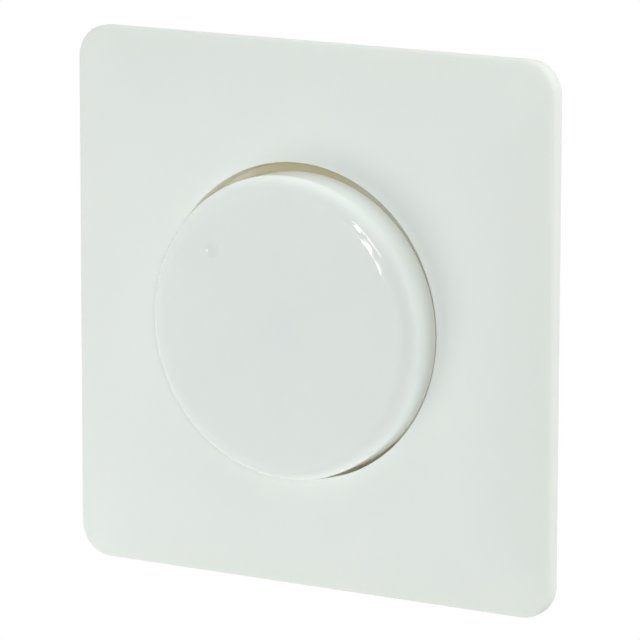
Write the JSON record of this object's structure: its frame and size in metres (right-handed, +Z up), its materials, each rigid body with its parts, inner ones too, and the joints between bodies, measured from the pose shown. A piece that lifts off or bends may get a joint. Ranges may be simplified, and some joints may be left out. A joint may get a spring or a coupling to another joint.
{
  "type": "rotary push dimmer",
  "caption": "Flush rotary dimmer for a wall box: square cushioned cover plate, large round knob that turns and pushes, support frame, housing, terminals and spreading claws.",
  "frame": {"origin": "on the knob's axis at the wall's face, midway between the two box-screw slots", "axes": "+X right, +Z up, -Y out of the wall towards the person"},
  "size_m": [0.08, 0.0353, 0.08],
  "materials": {
    "plate_plastic": "glossy moulded thermoplastic, slightly greenish white",
    "knob_plastic": "satin-gloss moulded thermoplastic, white",
    "spring_steel": "spring steel",
    "zinc_steel": "zinc-plated steel",
    "claw_steel": "yellow-passivated zinc-plated steel",
    "screw_steel": "zinc-plated steel screw",
    "shaft_metal": "turned aluminium",
    "brass": "brass",
    "cage_brass": "nickel-washed brass",
    "phenolic": "phenolic moulding",
    "carbon": "carbon film on laminate",
    "natural_plastic": "natural acetal",
    "switch_plastic": "glass-filled nylon",
    "housing_plastic": "dark grey glass-filled nylon",
    "board": "green solder resist on laminate",
    "epoxy": "black moulding compound",
    "pad": "grey silicone pad",
    "iron_powder": "painted iron powder",
    "copper": "enamelled copper wire",
    "capacitor_box": "moulded box",
    "capacitor_dip": "dipped film",
    "resistor_coat": "lacquered film",
    "fuse_glass": "glass tube with metal caps",
    "terminal_plastic": "light grey nylon"
  },
  "bodies": {
    "insert": {"cover_plate": "plate_plastic", "return_spring": "spring_steel", "support_frame": "zinc_steel", "plate_nut": "zinc_steel", "lock_washer": "zinc_steel", "housing_screws": "zinc_steel", "triac_screw": "zinc_steel", "claw_pins": "zinc_steel", "threaded_bush": "brass", "pot_pins": "brass", "fixed_contacts": "brass", "fuse_clips": "brass", "terminal_bars": "brass", "pot_case": "phenolic", "resistance_track": "carbon", "switch_body": "switch_plastic", "switch_base": "switch_plastic", "housing_base": "housing_plastic", "housing_cover": "housing_plastic", "circuit_board": "board", "triac": "epoxy", "triac_pad": "pad", "choke_core": "iron_powder", "choke_winding": "copper", "film_capacitor": "capacitor_box", "timing_capacitor": "capacitor_dip", "resistors": "resistor_coat", "fuse": "fuse_glass", "terminal_block": "terminal_plastic"},
    "rotor": {"pot_rotor": "natural_plastic", "wiper_contact": "brass"},
    "knob": {"dimmer_knob": "knob_plastic", "knob_spring_ring": "spring_steel", "control_shaft": "shaft_metal", "retaining_ring": "spring_steel"},
    "plunger": {"switch_plunger": "natural_plastic", "contact_bridge": "brass"},
    "left_claw": {"claw_left": "claw_steel"},
    "right_claw": {"claw_right": "claw_steel"},
    "left_claw_screw": {"claw_screw_left": "screw_steel"},
    "right_claw_screw": {"claw_screw_right": "screw_steel"},
    "cage_1": {"terminal_cage_1": "cage_brass"},
    "clamp_screw_1": {"terminal_screw_1": "screw_steel"},
    "cage_2": {"terminal_cage_2": "cage_brass"},
    "clamp_screw_2": {"terminal_screw_2": "screw_steel"},
    "cage_3": {"terminal_cage_3": "cage_brass"},
    "clamp_screw_3": {"terminal_screw_3": "screw_steel"}
  },
  "joints": [
    {"name": "knob_turn", "type": "hinge", "parent": "insert", "child": "rotor", "pos_m": [0, 0, 0], "axis": [0, 1, 0], "range_deg": [-104, 196]},
    {"name": "knob_push", "type": "slide", "parent": "rotor", "child": "knob", "axis": [0, 1, 0], "range_m": [0, 0.0012], "stiffness_N_per_m": 2500, "springref_m": -0.0012},
    {"name": "plunger_slide", "type": "slide", "parent": "insert", "child": "plunger", "axis": [0, 1, 0], "range_m": [0, 0.0012], "deforming": ["return_spring"]},
    {"name": "left_claw_screw_turn", "type": "hinge", "parent": "insert", "child": "left_claw_screw", "pos_m": [-0.0268, 0, 0], "axis": [0, 1, 0], "range_deg": [0, 777.6]},
    {"name": "left_claw_swing", "type": "hinge", "parent": "insert", "child": "left_claw", "pos_m": [-0.0233, 0.0034, 0], "axis": [0, 0, 1], "range_deg": [0, 18]},
    {"name": "right_claw_screw_turn", "type": "hinge", "parent": "insert", "child": "right_claw_screw", "pos_m": [0.0268, 0, 0], "axis": [0, 1, 0], "range_deg": [0, 777.6]},
    {"name": "right_claw_swing", "type": "hinge", "parent": "insert", "child": "right_claw", "pos_m": [0.0233, 0.0034, 0], "axis": [0, 0, -1], "range_deg": [0, 18]},
    {"name": "clamp_screw_1_turn", "type": "hinge", "parent": "insert", "child": "clamp_screw_1", "pos_m": [-0.0086, 0.0176, 0], "axis": [0, 0, 1], "range_deg": [0, 1584]},
    {"name": "cage_1_clamp", "type": "slide", "parent": "insert", "child": "cage_1", "axis": [0, 0, -1], "range_m": [0, 0.0022]},
    {"name": "clamp_screw_2_turn", "type": "hinge", "parent": "insert", "child": "clamp_screw_2", "pos_m": [0, 0.0176, 0], "axis": [0, 0, 1], "range_deg": [0, 1584]},
    {"name": "cage_2_clamp", "type": "slide", "parent": "insert", "child": "cage_2", "axis": [0, 0, -1], "range_m": [0, 0.0022]},
    {"name": "clamp_screw_3_turn", "type": "hinge", "parent": "insert", "child": "clamp_screw_3", "pos_m": [0.0086, 0.0176, 0], "axis": [0, 0, 1], "range_deg": [0, 1584]},
    {"name": "cage_3_clamp", "type": "slide", "parent": "insert", "child": "cage_3", "axis": [0, 0, -1], "range_m": [0, 0.0022]}
  ],
  "couplings": [
    {"joint": "plunger_slide", "follows": "knob_push", "ratio": 1},
    {"joint": "left_claw_swing", "follows": "left_claw_screw_turn", "ratio": 0.023148},
    {"joint": "right_claw_swing", "follows": "right_claw_screw_turn", "ratio": 0.023148},
    {"joint": "clamp_screw_1_turn", "follows": "cage_1_clamp", "rad_per_m": 12566},
    {"joint": "clamp_screw_2_turn", "follows": "cage_2_clamp", "rad_per_m": 12566},
    {"joint": "clamp_screw_3_turn", "follows": "cage_3_clamp", "rad_per_m": 12566}
  ]
}
